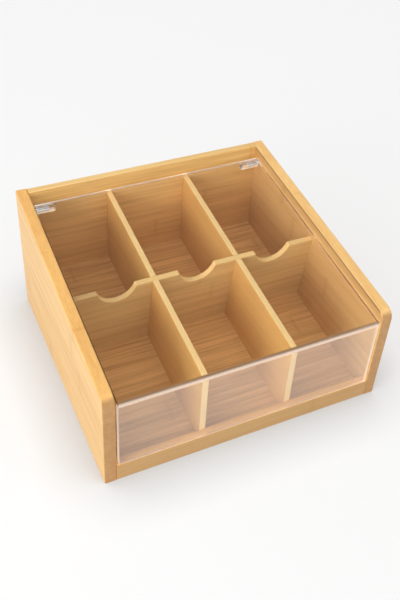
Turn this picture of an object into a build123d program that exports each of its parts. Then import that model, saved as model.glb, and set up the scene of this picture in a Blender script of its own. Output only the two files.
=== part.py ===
from build123d import *
import os
from math import atan2, cos, hypot, radians, sin, tan

os.makedirs("parts", exist_ok=True)

# A bamboo tea bag box: two sloping side panels, a back, a low front rail, a tilted floor
# and a lapped grid of dividers, under a clear lid that turns on two steel pins.
# Millimetres. The front faces -Y, the width runs along X, and Z is up from the table.

# Overall size
width = 240.0  # over the side panels
depth = 220.0  # front edges to back edges
back_height = 124.0  # side panels and back panel at the rear
front_height = 91.0  # where the sloping top would meet the front edge

# Boards
side_thickness = 10.0
back_thickness = 7.0
rail_thickness = 9.0
rail_height = 16.5
floor_thickness = 4.0
divider_thickness = 5.0
corner_radius = 9.0  # top front corner of a side panel
edge_radius = 1.2  # sanded edges of the thick boards
divider_edge_radius = 0.6  # tops of the long dividers
rim_chamfer = 0.5  # top of the cross divider, down through its notches

# Tilted floor and dividers
floor_front = 5.0  # floor's top at the front rail
floor_rise = 28.0  # from the rail up to the back panel
divider_drop = 18.0  # divider tops below the line of the side panels' tops
bay_count = 3
notch_width = 32.0  # scalloped finger notches in the cross divider
notch_depth = 13.5
notch_inset = 4.5  # the outer notches sit this much nearer to the middle
notch_lip_radius = 1.5  # where a notch meets the divider's top

# Joinery
groove_depth = 4.0  # floor in the side panels
housing_depth = 2.0  # divider ends in the back and side panels
housing_overrun = 2.0  # the cutter's round end, above a divider's top
lip_depth = 3.0  # floor in the back panel and under the rail
groove_fit = 0.1  # each side of a board in its groove
dowel_diameter = 4.0
dowel_in_side = 7.0
dowel_in_board = 13.0
dowel_margin = 14.0  # from the back panel's ends to its outer dowels
dowel_fit = 0.05
dowel_end_gap = 0.5

# Clear lid
sheet_thickness = 4.0
lid_recess = 7.0  # lid's top below the side panels' tops
lid_side_gap = 2.0
lid_rail_gap = 0.3  # under the front panel when the lid is shut
sheet_chamfer = 0.4
block_length = 18.0
block_depth = 5.0
block_height = 5.0
block_corner = 2.0  # inner ends of the hinge blocks, seen from above
pin_diameter = 3.0
pin_in_side = 7.0
pin_in_block = 12.0
pin_fit = 0.05  # radial, between the pin and the turning block
pin_end_gap = 0.5
pin_chamfer = 0.3
swing_clearance = 0.6  # between the back panel and the lid's rear edge as it turns
open_angle = 103.0  # the open lid leans over the back panel's top edge
lean_clearance = 0.4  # least gap between them there

# Planes and lines that the pieces share
front_y, back_y = -depth / 2, depth / 2
side_inner_x = width / 2 - side_thickness
rail_inner_y = front_y + rail_thickness
back_inner_y = back_y - back_thickness
inner_depth = back_inner_y - rail_inner_y
top_slope = (back_height - front_height) / depth
top_angle = atan2(back_height - front_height, depth)
floor_slope = floor_rise / inner_depth
floor_angle = atan2(floor_rise, inner_depth)


def top_z(y):
    """Height of the side panels' top line at a depth."""
    return front_height + (y - front_y) * top_slope


def floor_z(y):
    """Height of the floor's upper face at a depth."""
    return floor_front + (y - rail_inner_y) * floor_slope


def divider_z(y):
    """Height of the long dividers' tops at a depth."""
    return top_z(y) - divider_drop


# The floor's upper face: local Y runs uphill from the rail, and local Z is square to the board.
floor_plane = Plane(
    origin=(0, rail_inner_y, floor_front),
    x_dir=(1, 0, 0),
    z_dir=(0, -sin(floor_angle), cos(floor_angle)),
)
floor_length = inner_depth / cos(floor_angle)

# Three bays with a divider between each two
bay_width = (2 * side_inner_x - (bay_count - 1) * divider_thickness) / bay_count
bay_pitch = bay_width + divider_thickness
divider_xs = [(i - (bay_count - 2) / 2) * bay_pitch for i in range(bay_count - 1)]
bay_xs = [(i - (bay_count - 1) / 2) * bay_pitch for i in range(bay_count)]

# The cross divider stands square to the floor, halfway back at half its height.
middle_y = (rail_inner_y + back_inner_y) / 2
cross_height = (divider_z(middle_y) - floor_z(middle_y)) / cos(floor_angle)
cross_foot = (middle_y - rail_inner_y) / cos(floor_angle) + cross_height * tan(floor_angle) / 2
cross_y = rail_inner_y + cross_foot * cos(floor_angle)
cross_height = (divider_z(cross_y) - floor_z(cross_y)) / (
    cos(floor_angle) + top_slope * sin(floor_angle)
)
cross_plane = Plane(
    origin=floor_plane.from_local_coords((0, cross_foot, 0)),
    x_dir=(1, 0, 0),
    z_dir=(0, -cos(floor_angle), -sin(floor_angle)),
)
lap_height = cross_height / 2
slot_width = divider_thickness + 2 * groove_fit

# The pin stands off the back panel by the swing of the lid's rear edge, or by what the
# sheet's upper face needs to reach the open angle before it meets the panel's top edge.
pin_below_top = sheet_thickness + block_height / 2
swing_radius = hypot(block_depth / 2, pin_below_top)
lean_y, lean_z = sin(radians(open_angle) - top_angle), cos(radians(open_angle) - top_angle)
lean_limit = (
    back_inner_y * lean_y
    + (back_y * top_slope + (lid_recess + pin_below_top) / cos(top_angle)) * lean_z
    - pin_below_top
    - lean_clearance
) / (lean_y + top_slope * lean_z)
pin_y = min(back_inner_y - swing_radius - swing_clearance, lean_limit)
pin_z = top_z(pin_y) - (lid_recess + pin_below_top) / cos(top_angle)
lid_half_width = side_inner_x - lid_side_gap
rear_y = pin_y + block_depth / 2 * cos(top_angle) - pin_below_top * sin(top_angle)

# The lid's upper face through its rear edge: local Y runs uphill, local Z out of the sheet.
lid_plane = Plane(
    origin=(0, rear_y, top_z(rear_y) - lid_recess / cos(top_angle)),
    x_dir=(1, 0, 0),
    z_dir=(0, -sin(top_angle), cos(top_angle)),
)
sides = (("left", -1), ("right", 1))


def save(piece, name):
    """Labels a finished sub-part and writes its STEP file."""
    piece.part.label = name
    export_step(piece.part, f"parts/{name}.step")


# Side panels: sloping top, rounded front corner, grooves for the floor and the cross divider
dowel_zs = [
    dowel_margin + i * (back_height - 2 * dowel_margin) / 2 for i in range(3)
]
rail_dowel_z = (floor_front + rail_height) / 2
for side, sign in sides:
    inner = Plane.YZ.offset(sign * side_inner_x)
    outward = sign * side_thickness
    with BuildPart() as side_panel:
        with BuildSketch(inner) as outline:
            with BuildLine():
                Polyline(
                    (front_y, 0),
                    (back_y, 0),
                    (back_y, back_height),
                    (front_y, front_height),
                    close=True,
                )
            make_face()
            top_front = outline.vertices().group_by(Axis.X)[0].sort_by(Axis.Y)[-1]
            fillet(top_front, corner_radius)
        extrude(amount=outward)
        fillet(
            side_panel.edges().group_by(Axis.X)[0]
            + side_panel.edges().group_by(Axis.X)[-1],
            edge_radius,
        )
        # floor groove, stopped behind the front edge
        with BuildSketch(floor_plane.offset(groove_fit)):
            with Locations((sign * (side_inner_x + groove_depth / 2 - 1), floor_length / 2)):
                Rectangle(
                    groove_depth + 2,
                    floor_length + 2 * (lip_depth + groove_fit),
                )
        extrude(amount=-(floor_thickness + 2 * groove_fit), mode=Mode.SUBTRACT)
        # housing for the end of the cross divider
        with BuildSketch(cross_plane.offset(-slot_width / 2)):
            with Locations((sign * (side_inner_x + housing_depth / 2 - 1), 0)):
                Rectangle(
                    housing_depth + 2,
                    cross_height + groove_fit,
                    align=(Align.CENTER, Align.MIN),
                )
        extrude(amount=slot_width, mode=Mode.SUBTRACT)
        # blind holes for the hinge pin and for the dowels
        with BuildSketch(inner):
            with Locations((pin_y, pin_z)):
                Circle(pin_diameter / 2)
        extrude(amount=sign * (pin_in_side + pin_end_gap), mode=Mode.SUBTRACT)
        with BuildSketch(inner):
            with Locations(*[(back_y - back_thickness / 2, z) for z in dowel_zs]):
                Circle(dowel_diameter / 2 + dowel_fit)
            with Locations((front_y + rail_thickness / 2, rail_dowel_z)):
                Circle(dowel_diameter / 2 + dowel_fit)
        extrude(amount=sign * (dowel_in_side + dowel_end_gap), mode=Mode.SUBTRACT)
    save(side_panel, f"{side}_side_panel")

# Back panel: between the side panels, housed for the dividers and grooved for the floor
with BuildPart() as back_panel:
    with BuildSketch(Plane.XZ.offset(-back_y)):
        Rectangle(2 * side_inner_x, back_height, align=(Align.CENTER, Align.MIN))
    extrude(amount=back_thickness)
    fillet(
        back_panel.edges().filter_by(Axis.X),
        edge_radius,
    )
    with BuildSketch(floor_plane.offset(groove_fit)):
        with Locations((0, floor_length)):
            Rectangle(
                2 * side_inner_x,
                lip_depth + groove_fit,
                align=(Align.CENTER, Align.MIN),
            )
        with Locations((0, floor_length)):
            Rectangle(2 * side_inner_x, lip_depth, align=(Align.CENTER, Align.MAX))
    extrude(amount=-(floor_thickness + 2 * groove_fit), mode=Mode.SUBTRACT)
    # each housing ends in the cutter's round, a little above the divider
    housing_foot = floor_z(back_inner_y)
    housing_top = divider_z(back_inner_y + housing_depth) + housing_overrun
    with BuildSketch(Plane.XZ.offset(-back_inner_y)):
        for x in divider_xs:
            with Locations((x, housing_foot)):
                Rectangle(
                    slot_width,
                    housing_top - slot_width / 2 - housing_foot,
                    align=(Align.CENTER, Align.MIN),
                )
            with Locations((x, housing_top - slot_width / 2)):
                Circle(slot_width / 2)
    extrude(amount=-housing_depth, mode=Mode.SUBTRACT)
    for sign in (-1, 1):
        with BuildSketch(Plane.YZ.offset(sign * side_inner_x)):
            with Locations(*[(back_y - back_thickness / 2, z) for z in dowel_zs]):
                Circle(dowel_diameter / 2 + dowel_fit)
        extrude(
            amount=-sign * (dowel_in_board + dowel_end_gap),
            mode=Mode.SUBTRACT,
        )
save(back_panel, "back_panel")

# Front rail: flush with the side panels' front edges, rebated over the floor's front edge
with BuildPart() as front_rail:
    with BuildSketch(Plane.XZ.offset(-front_y)):
        Rectangle(2 * side_inner_x, rail_height, align=(Align.CENTER, Align.MIN))
    extrude(amount=-rail_thickness)
    fillet(
        front_rail.edges().filter_by(Axis.X).group_by(Axis.Y)[0],
        edge_radius / 2,
    )
    with BuildSketch(floor_plane.offset(groove_fit)):
        Rectangle(
            2 * side_inner_x,
            2 * (lip_depth + groove_fit),
        )
    extrude(amount=-(floor_front + floor_thickness), mode=Mode.SUBTRACT)
    for sign in (-1, 1):
        with BuildSketch(Plane.YZ.offset(sign * side_inner_x)):
            with Locations((front_y + rail_thickness / 2, rail_dowel_z)):
                Circle(dowel_diameter / 2 + dowel_fit)
        extrude(
            amount=-sign * (dowel_in_board + dowel_end_gap),
            mode=Mode.SUBTRACT,
        )
save(front_rail, "front_rail")

# Floor panel: one tilted board, its edges in the grooves all round
with BuildPart() as floor_panel:
    with BuildSketch(floor_plane):
        with Locations((0, floor_length / 2)):
            Rectangle(
                2 * (side_inner_x + groove_depth - groove_fit),
                floor_length + 2 * lip_depth,
            )
    extrude(amount=-floor_thickness)
save(floor_panel, "floor_panel")

# Long dividers: tops parallel to the lid, slotted from above for the cross divider
divider_names = (
    ["left_divider", "right_divider"]
    if bay_count == 3
    else [f"long_divider_{i + 1}" for i in range(bay_count - 1)]
)
divider_back_y = back_inner_y + housing_depth - groove_fit
for name, x in zip(divider_names, divider_xs):
    with BuildPart() as long_divider:
        with BuildSketch(Plane.YZ.offset(x)):
            with BuildLine():
                Polyline(
                    (rail_inner_y, floor_z(rail_inner_y)),
                    (divider_back_y, floor_z(divider_back_y)),
                    (divider_back_y, divider_z(divider_back_y)),
                    (rail_inner_y, divider_z(rail_inner_y)),
                    close=True,
                )
            make_face()
        extrude(amount=divider_thickness / 2, both=True)
        top = long_divider.faces().sort_by(Axis.Z)[-1]
        fillet(
            [e for e in top.edges() if abs(e.tangent_at(0.5).X) < 0.5],
            divider_edge_radius,
        )
        with BuildSketch(cross_plane.offset(-slot_width / 2)):
            with Locations((x, lap_height)):
                Rectangle(
                    2 * divider_thickness,
                    cross_height,
                    align=(Align.CENTER, Align.MIN),
                )
        extrude(amount=slot_width, mode=Mode.SUBTRACT)
    save(long_divider, name)

# Cross divider: scalloped finger notches above, slots over the long dividers below
notch_radius = (notch_width**2 / 4 + notch_depth**2) / (2 * notch_depth)
with BuildPart() as cross_divider:
    with BuildSketch(cross_plane.offset(-divider_thickness / 2)) as profile:
        Rectangle(
            2 * (side_inner_x + housing_depth - groove_fit),
            cross_height,
            align=(Align.CENTER, Align.MIN),
        )
        for i, x in enumerate(bay_xs):
            inset = notch_inset * (i == bay_count - 1) - notch_inset * (i == 0)
            with Locations((x - inset, cross_height - notch_depth + notch_radius)):
                Circle(notch_radius, mode=Mode.SUBTRACT)
        lips = [
            v
            for v in profile.vertices()
            if v.Y > cross_height - 0.01 and abs(v.X) < side_inner_x
        ]
        fillet(lips, notch_lip_radius)
        for x in divider_xs:
            with Locations((x, 0)):
                Rectangle(
                    slot_width,
                    lap_height + groove_fit,
                    align=(Align.CENTER, Align.MIN),
                    mode=Mode.SUBTRACT,
                )
    extrude(amount=divider_thickness)
    rim = cross_divider.edges().filter_by(
        lambda e: cross_plane.to_local_coords(e.center()).Y > cross_height - notch_depth - 0.1
        and abs(e.tangent_at(0.5).X) > 0.1
    )
    chamfer(rim, rim_chamfer)
save(cross_divider, "cross_divider")

# Dowels: three in each end of the back panel, one in each end of the rail
for side, sign in sides:
    start = Plane.YZ.offset(sign * (side_inner_x + dowel_in_side))
    length = dowel_in_side + dowel_in_board
    with BuildPart() as back_dowels:
        with BuildSketch(start):
            with Locations(*[(back_y - back_thickness / 2, z) for z in dowel_zs]):
                Circle(dowel_diameter / 2)
        extrude(amount=-sign * length)
    save(back_dowels, f"{side}_back_dowels")
    with BuildPart() as rail_dowel:
        with BuildSketch(start):
            with Locations((front_y + rail_thickness / 2, rail_dowel_z)):
                Circle(dowel_diameter / 2)
        extrude(amount=-sign * length)
    save(rail_dowel, f"{side}_rail_dowel")

# Hinge pins: pressed into the side panels, turning in the lid's blocks
for side, sign in sides:
    with BuildPart() as hinge_pin:
        with BuildSketch(Plane.YZ.offset(sign * (side_inner_x + pin_in_side))):
            with Locations((pin_y, pin_z)):
                Circle(pin_diameter / 2)
        extrude(amount=-sign * (pin_in_side + lid_side_gap + pin_in_block))
        chamfer(hinge_pin.edges().filter_by(GeomType.CIRCLE), pin_chamfer)
    save(hinge_pin, f"{side}_hinge_pin")

# Lid's top sheet: parallel to the side panels' tops, its front edge flush with the front
sheet_front_z = top_z(front_y) - lid_recess / cos(top_angle)
sheet_drop = sheet_thickness / cos(top_angle)
rear_top = lid_plane.from_local_coords((0, 0, 0))
rear_under = lid_plane.from_local_coords((0, 0, -sheet_thickness))
with BuildPart() as lid_top_sheet:
    with BuildSketch(Plane.YZ):
        with BuildLine():
            Polyline(
                (front_y, sheet_front_z),
                (front_y, sheet_front_z - sheet_drop),
                (rear_under.Y, rear_under.Z),
                (rear_top.Y, rear_top.Z),
                close=True,
            )
        make_face()
    extrude(amount=lid_half_width, both=True)
    upper = lid_top_sheet.faces().sort_by(Axis.Z)[-1]
    chamfer(upper.edges(), sheet_chamfer)
save(lid_top_sheet, "lid_top_sheet")

# Lid's front panel: hangs square under the sheet and stops just above the rail
with BuildPart() as lid_front_panel:
    with BuildSketch(Plane.YZ):
        with BuildLine():
            Polyline(
                (front_y, rail_height + lid_rail_gap),
                (front_y + sheet_thickness, rail_height + lid_rail_gap),
                (
                    front_y + sheet_thickness,
                    sheet_front_z - sheet_drop + sheet_thickness * top_slope,
                ),
                (front_y, sheet_front_z - sheet_drop),
                close=True,
            )
        make_face()
    extrude(amount=lid_half_width, both=True)
    chamfer(lid_front_panel.edges().filter_by(Axis.X).group_by(Axis.Z)[0], sheet_chamfer)
save(lid_front_panel, "lid_front_panel")

# Hinge blocks: clear blocks glued under the sheet's rear corners, bored blind for the pins
for side, sign in sides:
    with BuildPart() as hinge_block:
        with BuildSketch(lid_plane.offset(-sheet_thickness)) as footprint:
            with Locations((sign * (lid_half_width - block_length / 2), -block_depth / 2)):
                Rectangle(block_length, block_depth)
            inner_end = footprint.vertices().group_by(Axis.X)[0 if sign > 0 else -1]
            fillet(inner_end, block_corner)
        extrude(amount=-block_height)
        with BuildSketch(Plane.YZ.offset(sign * lid_half_width)):
            with Locations((pin_y, pin_z)):
                Circle(pin_diameter / 2 + pin_fit)
        extrude(amount=-sign * (pin_in_block + pin_end_gap), mode=Mode.SUBTRACT)
    save(hinge_block, f"{side}_hinge_block")
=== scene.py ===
from math import radians

import bpy
from mathutils import Matrix, Vector


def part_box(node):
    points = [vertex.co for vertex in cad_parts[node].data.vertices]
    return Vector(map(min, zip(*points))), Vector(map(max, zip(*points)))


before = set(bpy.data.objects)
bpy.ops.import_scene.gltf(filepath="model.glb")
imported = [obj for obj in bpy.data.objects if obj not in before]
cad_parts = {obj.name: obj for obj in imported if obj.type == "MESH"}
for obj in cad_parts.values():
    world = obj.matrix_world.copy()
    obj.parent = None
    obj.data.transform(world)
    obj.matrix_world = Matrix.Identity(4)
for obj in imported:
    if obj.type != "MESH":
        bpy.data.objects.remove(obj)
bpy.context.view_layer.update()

bpy.ops.object.select_all(action="DESELECT")


# ---- Side panels -------------------------------------------------------------------------------
# Two boards of edge-glued bamboo strips, the grain running from front to back. The broad faces are
# a pale tan, paler on the left board as painted sheen. The sanded top edges show the strips'
# honey-coloured sides, brightened further as a painted highlight, most on the right board; the front
# ends are darker, partly end grain and partly painted shade. A painted shade darkens each inner face
# just above the lid.
def new_group(name, inputs, outputs):
    """A shader node group with the named inputs and outputs, and its two end nodes."""
    group = bpy.data.node_groups.new(name, "ShaderNodeTree")
    for title, kind, value in inputs:
        socket = group.interface.new_socket(name=title, in_out="INPUT", socket_type=kind)
        if value is not None:
            socket.default_value = value
    for title, kind in outputs:
        group.interface.new_socket(name=title, in_out="OUTPUT", socket_type=kind)
    return group, group.nodes.new("NodeGroupInput"), group.nodes.new("NodeGroupOutput")


def new_material(name):
    """A material with its node tree and its Principled shader."""
    material = bpy.data.materials.new(name)
    material.use_nodes = True
    return material, material.node_tree, material.node_tree.nodes["Principled BSDF"]


def feed(tree, socket, value):
    """Links an input to another node's socket, or gives it a plain value."""
    if isinstance(value, bpy.types.NodeSocket):
        tree.links.new(value, socket)
    else:
        socket.default_value = value


def wire(tree, kind, settings=(), **inputs):
    """Adds a node, sets its properties and feeds its inputs. An input is given by its name, with
    an underscore for each space, or by its number after an underscore."""
    node = tree.nodes.new(kind)
    for key, value in settings:
        setattr(node, key, value)
    for key, value in inputs.items():
        number = key[1:]
        which = int(number) if number.isdigit() else key.replace("_", " ")
        feed(tree, node.inputs[which], value)
    return node


def calc(tree, operation, a, b=0.0):
    """The result of one sum on two numbers."""
    return wire(tree, "ShaderNodeMath", [("operation", operation)], _0=a, _1=b).outputs[0]


def dot(tree, vector, axis):
    """How far a vector points along an axis."""
    product = [("operation", "DOT_PRODUCT")]
    return wire(tree, "ShaderNodeVectorMath", product, _0=vector, _1=axis).outputs["Value"]


def smooth_range(tree, value, low, high):
    """0 below low, 1 above high, and a smooth step between."""
    smooth = [("interpolation_type", "SMOOTHSTEP")]
    step = wire(tree, "ShaderNodeMapRange", smooth, Value=value, From_Min=low, From_Max=high)
    return step.outputs["Result"]


def blend(tree, factor, a, b):
    """Colour a where the factor is 0 and colour b where it is 1."""
    return wire(tree, "ShaderNodeMix", [("data_type", "RGBA")], _0=factor, _6=a, _7=b).outputs[2]


# The bamboo group takes a vector whose X runs along the grain and Y across the strips, in metres.
bamboo, take, give = new_group(
    "Bamboo Grain",
    [
        ("Vector", "NodeSocketVector", None),
        ("Pale", "NodeSocketColor", (0.8, 0.6, 0.3, 1)),
        ("Dark", "NodeSocketColor", (0.5, 0.3, 0.1, 1)),
        ("Strip Width", "NodeSocketFloat", 0.02),
        ("Strip Contrast", "NodeSocketFloat", 0.3),
        ("Fibre Contrast", "NodeSocketFloat", 0.5),
        ("Knuckles", "NodeSocketFloat", 0.5),
        ("Seed", "NodeSocketFloat", 0.0),
    ],
    [
        ("Color", "NodeSocketColor"),
        ("Roughness", "NodeSocketFloat"),
        ("Height", "NodeSocketFloat"),
    ],
)
given = take.outputs
place = wire(bamboo, "ShaderNodeSeparateXYZ", _0=given["Vector"]).outputs
across = calc(bamboo, "DIVIDE", place[1], given["Strip Width"])
strip = calc(bamboo, "FLOOR", across)
strip_seed = calc(bamboo, "ADD", calc(bamboo, "MULTIPLY", strip, 1.37), given["Seed"])
strip_chance = wire(
    bamboo, "ShaderNodeTexWhiteNoise", [("noise_dimensions", "1D")], W=strip_seed
).outputs["Value"]
# each strip has its own stretch of fibre, so the grain doesn't run on over the joints
strip_shift = calc(bamboo, "MULTIPLY", strip_chance, 3.0)


def fibres(along_scale, across_scale, detail, roughness):
    """Long thin streaks along the grain, from a noise that is squeezed across it."""
    run = calc(bamboo, "ADD", calc(bamboo, "MULTIPLY", place[0], along_scale), strip_shift)
    stretched = wire(
        bamboo, "ShaderNodeCombineXYZ", _0=run,
        _1=calc(bamboo, "MULTIPLY", place[1], across_scale),
        _2=calc(bamboo, "MULTIPLY", place[2], across_scale),
    ).outputs[0]
    return wire(
        bamboo, "ShaderNodeTexNoise", [("noise_dimensions", "3D")],
        Vector=stretched, Scale=1.0, Detail=detail, Roughness=roughness,
    ).outputs["Fac"]


fine = fibres(along_scale=16.0, across_scale=900.0, detail=4.0, roughness=0.62)
broad = fibres(along_scale=5.0, across_scale=190.0, detail=2.0, roughness=0.5)
fibre = calc(
    bamboo, "ADD",
    calc(bamboo, "MULTIPLY", smooth_range(bamboo, fine, 0.3, 0.7), 0.6),
    calc(bamboo, "MULTIPLY", smooth_range(bamboo, broad, 0.3, 0.7), 0.4),
)
# a knuckle crosses each strip at this spacing, at its own place: a thin ring in a wider collar
knuckle_spacing = 0.24
spaces = calc(bamboo, "ADD", calc(bamboo, "DIVIDE", place[0], knuckle_spacing), strip_shift)
off_middle = calc(bamboo, "SUBTRACT", calc(bamboo, "FRACT", spaces), 0.5)
from_knuckle = calc(bamboo, "MULTIPLY", calc(bamboo, "ABSOLUTE", off_middle), knuckle_spacing)
wobble = calc(bamboo, "MULTIPLY", calc(bamboo, "SUBTRACT", broad, 0.5), 0.006)
from_ring = calc(bamboo, "ABSOLUTE", calc(bamboo, "ADD", from_knuckle, wobble))
ring = calc(bamboo, "SUBTRACT", 1.0, smooth_range(bamboo, from_ring, 0.0004, 0.0024))
collar = calc(bamboo, "SUBTRACT", 1.0, smooth_range(bamboo, from_knuckle, 0.002, 0.014))
knuckle = calc(
    bamboo, "MULTIPLY", given["Knuckles"],
    calc(bamboo, "ADD", calc(bamboo, "MULTIPLY", ring, 0.75), calc(bamboo, "MULTIPLY", collar, 0.25)),
)
# the glue line between two strips
off_strip = calc(bamboo, "ABSOLUTE", calc(bamboo, "SUBTRACT", calc(bamboo, "FRACT", across), 0.5))
from_joint = calc(bamboo, "MULTIPLY", calc(bamboo, "SUBTRACT", 0.5, off_strip), given["Strip Width"])
glue = calc(bamboo, "MULTIPLY", smooth_range(bamboo, from_joint, 0.0004, 0.0), given["Strip Contrast"])
# a high tone is dark
tone = calc(
    bamboo, "ADD",
    calc(bamboo, "MULTIPLY", calc(bamboo, "SUBTRACT", fibre, 0.5), given["Fibre Contrast"]),
    calc(bamboo, "MULTIPLY", calc(bamboo, "SUBTRACT", strip_chance, 0.5), given["Strip Contrast"]),
)
marks = calc(bamboo, "ADD", knuckle, calc(bamboo, "MULTIPLY", glue, 0.8))
shade = wire(
    bamboo, "ShaderNodeMapRange", Value=calc(bamboo, "ADD", tone, marks), From_Min=-0.5, From_Max=1.0
).outputs["Result"]
rough = calc(bamboo, "ADD", 0.38, calc(bamboo, "MULTIPLY", fibre, 0.16))
height = calc(
    bamboo, "SUBTRACT", calc(bamboo, "MULTIPLY", knuckle, 0.5),
    calc(bamboo, "ADD", calc(bamboo, "MULTIPLY", fibre, 0.5), glue),
)
feed(bamboo, give.inputs["Color"], blend(bamboo, shade, given["Pale"], given["Dark"]))
feed(bamboo, give.inputs["Roughness"], rough)
feed(bamboo, give.inputs["Height"], height)

# The edge group tells a board's narrow edges from its two broad faces, by the faces' axis.
board_edges, take, give = new_group(
    "Board Edges",
    [("Face Axis", "NodeSocketVector", (1, 0, 0))],
    [("Edge", "NodeSocketFloat")],
)
surface_normal = wire(board_edges, "ShaderNodeTexCoord").outputs["Normal"]
squareness = calc(board_edges, "ABSOLUTE", dot(board_edges, surface_normal, take.outputs["Face Axis"]))
broad_face = smooth_range(board_edges, squareness, 0.55, 0.9)
feed(board_edges, give.inputs["Edge"], calc(board_edges, "SUBTRACT", 1.0, broad_face))


def edge_mask(tree, face_axis):
    """1 on a board's edges and 0 on its two faces that are square to the axis."""
    edges = [("node_tree", board_edges)]
    return wire(tree, "ShaderNodeGroup", edges, Face_Axis=face_axis).outputs["Edge"]


def rgb(red, green, blue):
    """A screen colour, 0 to 255, as the linear colour that a shader socket takes."""
    return tuple(
        v / 12.92 if v <= 0.04045 else ((v + 0.055) / 1.055) ** 2.4
        for v in (red / 255, green / 255, blue / 255)
    ) + (1.0,)


# turns, in degrees, that lay the grain along a board: along the box's width in a flat board, along
# the width in an upright one, and from front to back in an upright one
FLAT_WIDTHWAYS, UPRIGHT_WIDTHWAYS, UPRIGHT_FRONT_TO_BACK = (0, 0, 0), (90, 0, 0), (-90, -90, 0)


def bamboo_finish(
    name, face, edge, face_axis, turn, strip_width, strip_contrast, fibre_contrast, knuckles, seed,
    end=None,
):
    """A satin bamboo material. Face, edge and end, which is the end grain square to Y, are each a
    pale and a dark colour."""
    material, tree, shader = new_material(name)
    laid = wire(
        tree, "ShaderNodeMapping", Vector=wire(tree, "ShaderNodeTexCoord").outputs["Object"],
        Rotation=tuple(radians(a) for a in turn),
    ).outputs[0]
    edges = edge_mask(tree, face_axis)
    pale, dark = blend(tree, edges, face[0], edge[0]), blend(tree, edges, face[1], edge[1])
    if end:
        off_end = edge_mask(tree, (0, 1, 0))
        pale, dark = blend(tree, off_end, end[0], pale), blend(tree, off_end, end[1], dark)
    grain = wire(
        tree, "ShaderNodeGroup", [("node_tree", bamboo)], Vector=laid, Pale=pale, Dark=dark,
        Strip_Width=strip_width, Strip_Contrast=strip_contrast, Fibre_Contrast=fibre_contrast,
        Knuckles=knuckles, Seed=seed,
    ).outputs
    relief = wire(tree, "ShaderNodeBump", Height=grain["Height"], Strength=0.12, Distance=0.0002)
    feed(tree, shader.inputs["Base Color"], grain["Color"])
    feed(tree, shader.inputs["Roughness"], grain["Roughness"])
    feed(tree, shader.inputs["Normal"], relief.outputs[0])
    shader.inputs["Specular IOR Level"].default_value = 0.35
    return material


def paint(node, material):
    """Gives a node's object its finish."""
    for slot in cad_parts[node].material_slots:
        slot.link = "OBJECT"
        slot.material = material


# the side panels' tops and the lid rise by this much for each metre towards the back
top_slope = 0.15
slope_axis = Vector((0, -top_slope, 1)).normalized()
rear_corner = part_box("right_side_panel")[1]
panel_top = slope_axis.dot((0, rear_corner[1], rear_corner[2]))


def darken_inner_top(material, inward):
    """Darkens a side panel's inner face above the lid with painted shade, most of all in a fine line
    just below the top edge, a painted shadow of the gap beside the lid."""
    tree = material.node_tree
    coordinates = wire(tree, "ShaderNodeTexCoord").outputs
    depth = calc(tree, "SUBTRACT", panel_top, dot(tree, coordinates["Object"], slope_axis))
    line = calc(
        tree, "MULTIPLY", smooth_range(tree, depth, 0.0001, 0.0005),
        calc(tree, "SUBTRACT", 1.0, smooth_range(tree, depth, 0.0010, 0.0022)),
    )
    above_lid = calc(tree, "SUBTRACT", 1.0, smooth_range(tree, depth, 0.005, 0.011))
    # painted shade: a fine dark line for the gap's shadow, over a fainter shade on the strip above the
    # lid
    painted_shade = calc(
        tree, "MULTIPLY", smooth_range(tree, dot(tree, coordinates["Normal"], inward), 0.3, 0.8),
        calc(tree, "ADD", calc(tree, "MULTIPLY", line, 0.45), calc(tree, "MULTIPLY", above_lid, 0.2)),
    )
    base_color = tree.nodes["Principled BSDF"].inputs["Base Color"]
    unshaded_wood = base_color.links[0].from_socket
    # the painted shade is blended over the wood as a dark brown
    feed(tree, base_color, blend(tree, painted_shade, unshaded_wood, (0.18, 0.07, 0.02, 1)))


# painted light: the edge tones are brighter than the wood's own, a painted highlight on the top edges,
# the right board's most of all; the left board's paler face tones are painted sheen
honey = rgb(245, 193, 117), rgb(217, 154, 82)
highlit_honey = rgb(250, 206, 136), rgb(226, 169, 100)
cream_tan = rgb(225, 187, 127), rgb(198, 150, 88)
warm_tan = rgb(222, 178, 115), rgb(193, 141, 78)
for name, face, edge, inward, seed in (
    ("left_side_panel", cream_tan, honey, (1, 0, 0), 3.0),
    ("right_side_panel", warm_tan, highlit_honey, (-1, 0, 0), 11.0),
):
    side_bamboo = bamboo_finish(
        name + "_bamboo", face, edge, (1, 0, 0), UPRIGHT_FRONT_TO_BACK,
        strip_width=0.0225, strip_contrast=0.25, fibre_contrast=0.9, knuckles=0.5, seed=seed,
        # the front ends' darker tone is partly end grain and partly painted shade
        end=(rgb(193, 149, 97), rgb(166, 115, 64)),
    )
    # painted shade on the inner face above the lid
    darken_inner_top(side_bamboo, inward)
    paint(name, side_bamboo)


# ---- Front rail --------------------------------------------------------------------------------
# One low strip of bamboo, dowelled between the side panels and sanded flush with their front
# edges. Its face is a darker tan than theirs.
paint("front_rail", bamboo_finish(
    "front_rail_bamboo", (rgb(198, 158, 104), rgb(172, 129, 75)), honey, (0, 1, 0),
    UPRIGHT_WIDTHWAYS,
    strip_width=0.0165, strip_contrast=0.1, fibre_contrast=0.8, knuckles=0.35, seed=5.0,
))


# ---- Back panel --------------------------------------------------------------------------------
# A thin bamboo board, dowelled between the side panels, with fine grain along its width. Its
# sanded top edge is given paler tones than its face, a painted highlight.
paint("back_panel", bamboo_finish(
    "back_panel_bamboo", (rgb(249, 201, 127), rgb(206, 155, 86)),
    # painted highlight: the paler top edge tones
    (rgb(248, 211, 144), rgb(222, 173, 106)), (0, 1, 0), UPRIGHT_WIDTHWAYS,
    strip_width=0.021, strip_contrast=0.25, fibre_contrast=1.1, knuckles=0.4, seed=8.0,
))


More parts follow.
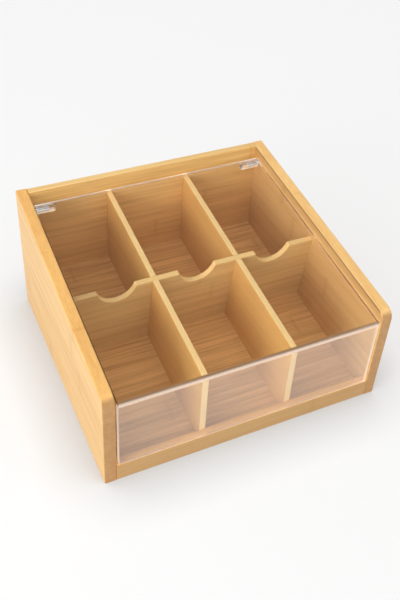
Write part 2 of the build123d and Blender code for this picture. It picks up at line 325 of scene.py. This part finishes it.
# ---- Floor -------------------------------------------------------------------------------------
# One tilted bamboo board in grooves all round. Its grain runs along the box's width and is the
# most strongly marked of all the boards'.
floor_tones = rgb(242, 192, 122), rgb(188, 135, 71)
paint("floor_panel", bamboo_finish(
    "floor_bamboo", floor_tones, floor_tones, (0, 0, 1), FLAT_WIDTHWAYS,
    strip_width=0.02, strip_contrast=0.35, fibre_contrast=1.5, knuckles=0.35, seed=21.0,
))


# ---- Cross divider -----------------------------------------------------------------------------
# A thin bamboo board over the full width, housed in the side panels, with three scalloped finger
# notches. It stands square to the tilted floor, and its top edge is pale.
floor_rise, inner_depth = 0.028, 0.204
cross_face = Vector((0, inner_depth, floor_rise)).normalized()
paint("cross_divider", bamboo_finish(
    "cross_divider_bamboo", (rgb(240, 201, 133), rgb(198, 156, 91)),
    (rgb(252, 214, 146), rgb(240, 190, 118)), cross_face, UPRIGHT_WIDTHWAYS,
    strip_width=0.023, strip_contrast=0.2, fibre_contrast=1.0, knuckles=0.3, seed=30.0,
))


# ---- Long dividers -----------------------------------------------------------------------------
# Two thin bamboo boards from the back panel to the rail, lapped half way with the cross divider.
# They are smoother than the other boards, and their top edges are the palest.
for name, seed in (("left_divider", 41.0), ("right_divider", 47.0)):
    paint(name, bamboo_finish(
        name + "_bamboo", (rgb(228, 179, 104), rgb(202, 147, 78)),
        (rgb(255, 222, 156), rgb(247, 200, 130)), (1, 0, 0), UPRIGHT_FRONT_TO_BACK,
        strip_width=0.03, strip_contrast=0.12, fibre_contrast=0.5, knuckles=0.2, seed=seed,
    ))


# ---- Dowels ------------------------------------------------------------------------------------
# Plain turned dowels, pale and close-grained, glued inside the corner joints: three at each end of
# the back panel and one at each end of the rail.
dowel_tones = rgb(230, 200, 150), rgb(200, 160, 110)
dowel_wood = bamboo_finish(
    "dowel_wood", dowel_tones, dowel_tones, (1, 0, 0), FLAT_WIDTHWAYS,
    strip_width=0.004, strip_contrast=0.1, fibre_contrast=0.4, knuckles=0.0, seed=60.0,
)
for name in ("left_back_dowels", "right_back_dowels", "left_rail_dowel", "right_rail_dowel"):
    paint(name, dowel_wood)


# ---- Hinge pins --------------------------------------------------------------------------------
# Short bright steel pins pressed into the side panels, on which the lid's blocks turn. Fine turning
# marks run round them.
pin_steel, tree, shader = new_material("pin_steel")
shader.inputs["Base Color"].default_value = rgb(222, 222, 226)
shader.inputs["Metallic"].default_value = 1.0
# the marks are close together along the pin and long round it
squeezed = wire(
    tree, "ShaderNodeMapping", Vector=wire(tree, "ShaderNodeTexCoord").outputs["Object"],
    Scale=(9000.0, 150.0, 150.0),
).outputs[0]
turning_marks = wire(tree, "ShaderNodeTexNoise", Scale=1.0, Detail=2.0, Vector=squeezed).outputs["Fac"]
rough = calc(tree, "ADD", 0.16, calc(tree, "MULTIPLY", turning_marks, 0.2))
feed(tree, shader.inputs["Roughness"], rough)
for name in ("left_hinge_pin", "right_hinge_pin"):
    paint(name, pin_steel)


# ---- Clear lid ---------------------------------------------------------------------------------
# A top sheet, a front panel and two hinge blocks of clear acrylic, glued together. Their edges get a
# painted glow in place of the light that travels inside the sheets and leaves there: white along the
# front, warm beside the wood.
def clear_acrylic(name, face_axis, glows, edge_roughness, haze=0.0, glued_axis=None):
    """Clear acrylic that lets lamps through and is duller at its sawn edges. Each glow is an axis and
    the colour of a painted glow on the faces that look along it. The face that looks along the glued
    axis is tinted a dark brown and passes little light."""
    material, tree, shader = new_material(name)
    clear, joint_tint = (0.99, 0.995, 0.99, 1), (0.04, 0.03, 0.02, 1)
    shader.inputs["Base Color"].default_value = clear
    shader.inputs["Transmission Weight"].default_value = 1.0 - haze
    shader.inputs["IOR"].default_value = 1.49
    coordinates = wire(tree, "ShaderNodeTexCoord").outputs

    def facing(axis):
        """1 on the faces that look along an axis."""
        return smooth_range(tree, dot(tree, coordinates["Normal"], axis), 0.85, 0.97)

    smear = wire(
        tree, "ShaderNodeTexNoise", Scale=60.0, Detail=3.0, Vector=coordinates["Object"]
    ).outputs["Fac"]
    sawn = calc(tree, "MULTIPLY", edge_mask(tree, face_axis), edge_roughness)
    rough = calc(tree, "ADD", sawn, calc(tree, "MULTIPLY", smear, 0.02))
    feed(tree, shader.inputs["Roughness"], rough)
    light = (0, 0, 0, 1)
    for axis, colour in glows:
        light = blend(tree, facing(axis), light, colour)
    # painted glow: emission on the faces that look along each glow's axis
    feed(tree, shader.inputs["Emission Color"], light)
    shader.inputs["Emission Strength"].default_value = 1.0
    if glued_axis:
        # the glued face gets a dark brown tint
        feed(tree, shader.inputs["Base Color"], blend(tree, facing(glued_axis), clear, joint_tint))
    through = wire(tree, "ShaderNodeBsdfTransparent", Color=(0.98, 0.98, 0.98, 1))
    mixed = wire(
        tree, "ShaderNodeMixShader", _0=wire(tree, "ShaderNodeLightPath").outputs["Is Shadow Ray"],
        _1=shader.outputs[0], _2=through.outputs[0],
    )
    feed(tree, tree.nodes["Material Output"].inputs["Surface"], mixed.outputs[0])
    return material


front, left, right, below = (0, -1, 0), (-1, 0, 0), (1, 0, 0), (0, 0, -1)
# painted glow on the sheet's front and right edges, the front panel's left, lower and glued faces, and
# the blocks' fronts
paint("lid_top_sheet", clear_acrylic(
    "sheet_acrylic", slope_axis,
    [(front, (0.43, 0.38, 0.335, 1)), (right, (0.16, 0.07, 0.02, 1))],
    edge_roughness=0.08,
))
paint("lid_front_panel", clear_acrylic(
    "front_acrylic", (0, 1, 0),
    [
        (left, (0.46, 0.4, 0.34, 1)),
        (below, (0.6, 0.45, 0.28, 1)),
        (slope_axis, (0.3, 0.15, 0.06, 1)),
    ],
    edge_roughness=0.3, haze=0.04, glued_axis=slope_axis,
))
block_acrylic = clear_acrylic(
    "block_acrylic", slope_axis, [(front, (0.15, 0.14, 0.13, 1))], edge_roughness=0.1,
)
for name in ("left_hinge_block", "right_hinge_block"):
    paint(name, block_acrylic)


# ---- Table -------------------------------------------------------------------------------------
# A wide white tabletop. What sees it directly, in a mirror or through the lid gets partly a plain
# white, with a painted contact shade that darkens it only where the box closes it off.
bpy.ops.mesh.primitive_plane_add(size=8.0, location=(0, 0, 0))
table = bpy.context.object
table.name = "tabletop"
table_white, tree, shader = new_material("table_white")
shader.inputs["Base Color"].default_value = (0.93, 0.93, 0.93, 1)
shader.inputs["Roughness"].default_value = 0.9
shader.inputs["Specular IOR Level"].default_value = 0.1
paths = wire(tree, "ShaderNodeLightPath").outputs
mirrored = calc(tree, "MAXIMUM", paths["Is Glossy Ray"], paths["Is Transmission Ray"])
seen = calc(tree, "MAXIMUM", paths["Is Camera Ray"], mirrored)
plain_strength, plain_share, shade_reach = 0.96, 0.575, 0.05
# painted contact shade: the plain white dims where ambient occlusion finds the box close by
openness = wire(
    tree, "ShaderNodeAmbientOcclusion", [("samples", 8)], Distance=shade_reach
).outputs["AO"]
plain_white = wire(
    tree, "ShaderNodeEmission", Color=(1, 1, 1, 1),
    Strength=calc(tree, "MULTIPLY", openness, plain_strength),
)
mixed = wire(
    tree, "ShaderNodeMixShader", _0=calc(tree, "MULTIPLY", seen, plain_share),
    _1=shader.outputs[0], _2=plain_white.outputs[0],
)
feed(tree, tree.nodes["Material Output"].inputs["Surface"], mixed.outputs[0])
table.data.materials.append(table_white)
bpy.ops.object.select_all(action="DESELECT")


# ---- Room and lamp -----------------------------------------------------------------------------
# A pale room that is brightest overhead and dark in the part that the lid mirrors, and one large
# lamp low on the left, a little in front of the box.
room = bpy.data.worlds.new("room")
bpy.context.scene.world = room
room.use_nodes = True
tree = room.node_tree
tree.nodes.clear()
way = wire(tree, "ShaderNodeTexCoord").outputs["Generated"]
up = wire(tree, "ShaderNodeSeparateXYZ", _0=way).outputs[2]
level_strength, overhead_strength, backdrop_strength = 0.44, 1.4, 0.93
walls = wire(
    tree, "ShaderNodeMapRange", Value=up, From_Min=0.0, From_Max=0.8,
    To_Min=level_strength, To_Max=overhead_strength,
).outputs["Result"]
mirrored_way = (0.331, 0.519, 0.788)
dimming = calc(tree, "MULTIPLY", smooth_range(tree, dot(tree, way, mirrored_way), 0.7, 0.9), 0.85)
walls = calc(tree, "MULTIPLY", walls, calc(tree, "SUBTRACT", 1.0, dimming))
seen = wire(tree, "ShaderNodeLightPath").outputs["Is Camera Ray"]
strength = wire(
    tree, "ShaderNodeMix", [("data_type", "FLOAT")], _0=seen, _2=walls, _3=backdrop_strength
).outputs[0]
background = wire(tree, "ShaderNodeBackground", Color=(1, 1, 1, 1), Strength=strength)
output = wire(tree, "ShaderNodeOutputWorld")
feed(tree, output.inputs["Surface"], background.outputs[0])

lamp_place, lamp_aim = Vector((-1.2, -0.5, 0.5)), Vector((0, 0, 0.05))
lamp_data = bpy.data.lights.new("window_lamp", "AREA")
lamp_data.shape = "SQUARE"
lamp_data.size = 0.6
lamp_data.energy = 8.3
lamp = bpy.data.objects.new("window_lamp", lamp_data)
bpy.context.scene.collection.objects.link(lamp)
lamp.location = lamp_place
lamp.rotation_euler = (lamp_aim - lamp_place).to_track_quat("-Z", "Y").to_euler()


# ---- Camera ------------------------------------------------------------------------------------
# The photograph's viewpoint, from a fit to the box's edges: the focal length and the picture's
# optical centre are in pixels, and the three axes point to the camera's right, up and behind it.
image_width, image_height = 400, 600
focal_pixels = 769.07
centre_pixels = (170.0, 228.0)
film_width = 36.0
camera_place = (-0.2233590, -0.4387697, 0.4973465)
camera_axes = (
    (0.9178959, -0.3959040, 0.0269645),
    (0.2182717, 0.5604704, 0.7988932),
    (-0.3313978, -0.7274153, 0.6008681),
)
camera_data = bpy.data.cameras.new("camera")
camera_data.sensor_width = film_width
camera_data.lens = film_width * focal_pixels / image_height
camera_data.shift_x = (image_width / 2 - centre_pixels[0]) / image_height
camera_data.shift_y = (centre_pixels[1] - image_height / 2) / image_height
camera_data.clip_start = 0.01
camera = bpy.data.objects.new("camera", camera_data)
bpy.context.scene.collection.objects.link(camera)
camera.matrix_world = Matrix.Translation(camera_place) @ Matrix(camera_axes).transposed().to_4x4()
bpy.context.scene.camera = camera
bpy.context.scene.view_settings.view_transform = "Standard"
